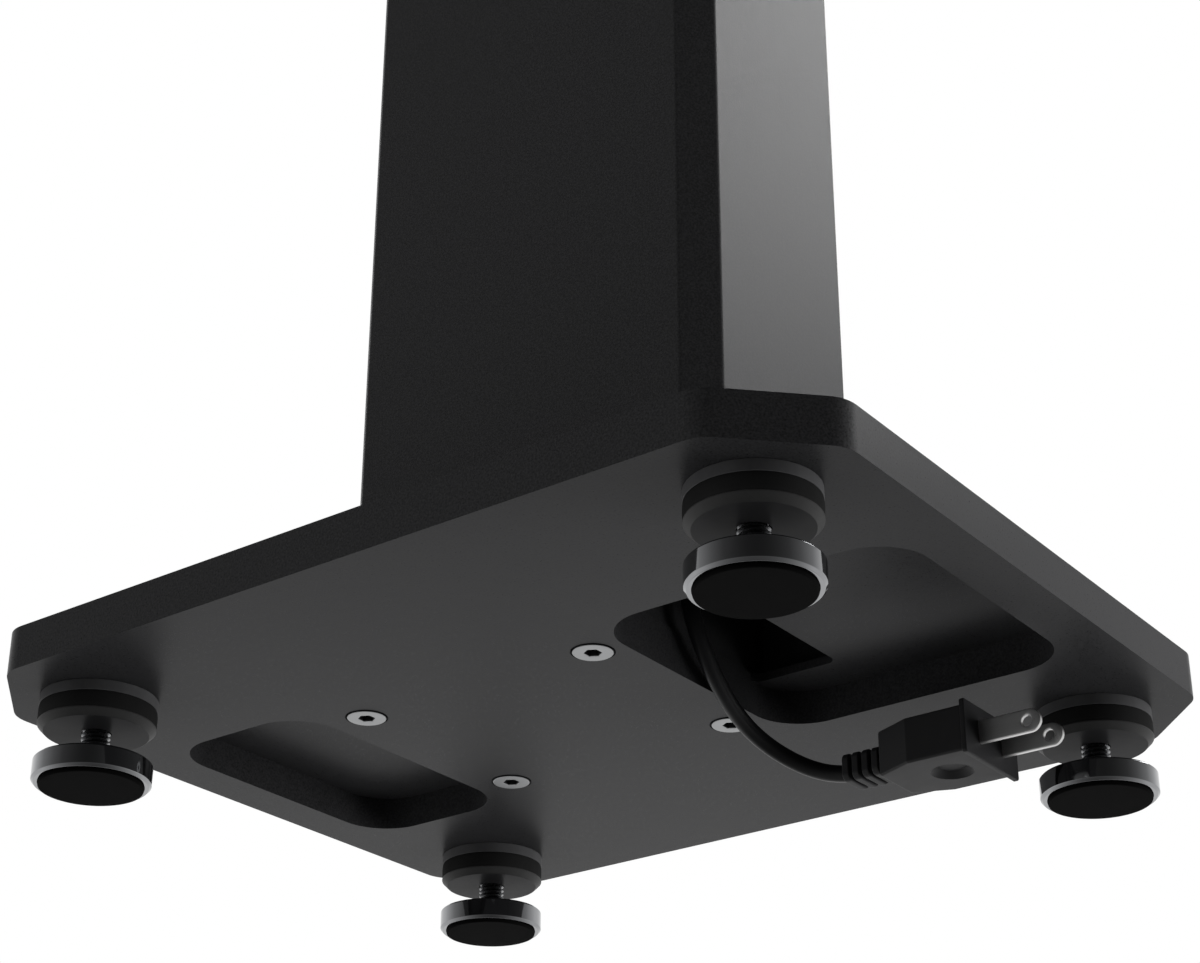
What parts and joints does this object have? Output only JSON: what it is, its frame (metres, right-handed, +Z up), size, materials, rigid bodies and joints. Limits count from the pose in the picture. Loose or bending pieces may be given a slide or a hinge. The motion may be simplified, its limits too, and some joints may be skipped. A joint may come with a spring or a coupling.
{
  "type": "speaker stand",
  "caption": "Floor stand for a bookshelf speaker: steel base plate on levelling feet with rubber isolators, chamfered column with a cable duct, steel top plate, mains lead below.",
  "frame": {"origin": "on the floor, under the middle of the base plate", "axes": "+Z up along the column, -Y the front of the stand, +Y the rear with the cable duct, +X to the right seen from the front"},
  "size_m": [0.232, 0.275, 0.62],
  "materials": {
    "powder_coat": "fine black powder coat on a blasted steel plate, satin",
    "coated_column": "extruded aluminium under a fine black powder coat, satin",
    "steel_screws": "bright zinc plated steel",
    "black_screws": "black oxide steel",
    "black_steel": "satin black on turned steel",
    "zinc_steel": "zinc plated steel thread",
    "black_chrome": "polished black chrome",
    "rubber": "matt black rubber",
    "lead_jacket": "black PVC lead jacket",
    "plug_plastic": "moulded black PVC, matt",
    "blade_metal": "nickel plated brass, bright",
    "contact_brass": "spring brass",
    "clip_plastic": "black nylon"
  },
  "bodies": {
    "stand": {"base_plate": "powder_coat", "base_screws": "steel_screws", "column": "coated_column", "top_plate": "powder_coat", "top_screws": "black_screws", "filler_bung": "rubber", "outlet_grommet": "rubber", "cable_clips": "clip_plastic", "connector_clip": "clip_plastic", "lead_in_column": "lead_jacket", "connector_body": "plug_plastic", "connector_contacts": "contact_brass", "lead_tail": "lead_jacket", "plug_body": "plug_plastic", "plug_blade_left": "blade_metal", "plug_blade_right": "blade_metal", "front_left_speaker_pad": "rubber", "front_right_speaker_pad": "rubber", "rear_left_speaker_pad": "rubber", "rear_right_speaker_pad": "rubber", "front_left_isolator_cap": "black_steel", "front_left_isolator_rubber": "rubber", "front_left_isolator_disc": "black_steel", "front_right_isolator_cap": "black_steel", "front_right_isolator_rubber": "rubber", "front_right_isolator_disc": "black_steel", "rear_left_isolator_cap": "black_steel", "rear_left_isolator_rubber": "rubber", "rear_left_isolator_disc": "black_steel", "rear_right_isolator_cap": "black_steel", "rear_right_isolator_rubber": "rubber", "rear_right_isolator_disc": "black_steel"},
    "front_left_pad": {"front_left_foot_pad": "rubber"},
    "front_left_foot": {"front_left_foot": "black_chrome", "front_left_stud": "zinc_steel"},
    "front_right_pad": {"front_right_foot_pad": "rubber"},
    "front_right_foot": {"front_right_foot": "black_chrome", "front_right_stud": "zinc_steel"},
    "rear_left_pad": {"rear_left_foot_pad": "rubber"},
    "rear_left_foot": {"rear_left_foot": "black_chrome", "rear_left_stud": "zinc_steel"},
    "rear_right_pad": {"rear_right_foot_pad": "rubber"},
    "rear_right_foot": {"rear_right_foot": "black_chrome", "rear_right_stud": "zinc_steel"}
  },
  "joints": [
    {"name": "front_left_foot_height", "type": "slide", "parent": "stand", "child": "front_left_pad", "axis": [0, 0, -1], "range_m": [-0.0065, 0.004]},
    {"name": "front_left_foot_turn", "type": "hinge", "parent": "front_left_pad", "child": "front_left_foot", "pos_m": [-0.0866, -0.1086, 0.005], "axis": [0, 0, -1], "range_deg": [-1874, 1154]},
    {"name": "front_right_foot_height", "type": "slide", "parent": "stand", "child": "front_right_pad", "axis": [0, 0, -1], "range_m": [-0.0065, 0.004]},
    {"name": "front_right_foot_turn", "type": "hinge", "parent": "front_right_pad", "child": "front_right_foot", "pos_m": [0.0866, -0.1086, 0.005], "axis": [0, 0, -1], "range_deg": [-1874, 1154]},
    {"name": "rear_left_foot_height", "type": "slide", "parent": "stand", "child": "rear_left_pad", "axis": [0, 0, -1], "range_m": [-0.0065, 0.004]},
    {"name": "rear_left_foot_turn", "type": "hinge", "parent": "rear_left_pad", "child": "rear_left_foot", "pos_m": [-0.0866, 0.1086, 0.005], "axis": [0, 0, -1], "range_deg": [-1874, 1154]},
    {"name": "rear_right_foot_height", "type": "slide", "parent": "stand", "child": "rear_right_pad", "axis": [0, 0, -1], "range_m": [-0.0065, 0.004]},
    {"name": "rear_right_foot_turn", "type": "hinge", "parent": "rear_right_pad", "child": "rear_right_foot", "pos_m": [0.0866, 0.1086, 0.005], "axis": [0, 0, -1], "range_deg": [-1874, 1154]}
  ],
  "couplings": [
    {"joint": "front_left_foot_turn", "follows": "front_left_foot_height", "rad_per_m": 5026.5},
    {"joint": "front_right_foot_turn", "follows": "front_right_foot_height", "rad_per_m": 5026.5},
    {"joint": "rear_left_foot_turn", "follows": "rear_left_foot_height", "rad_per_m": 5026.5},
    {"joint": "rear_right_foot_turn", "follows": "rear_right_foot_height", "rad_per_m": 5026.5}
  ]
}
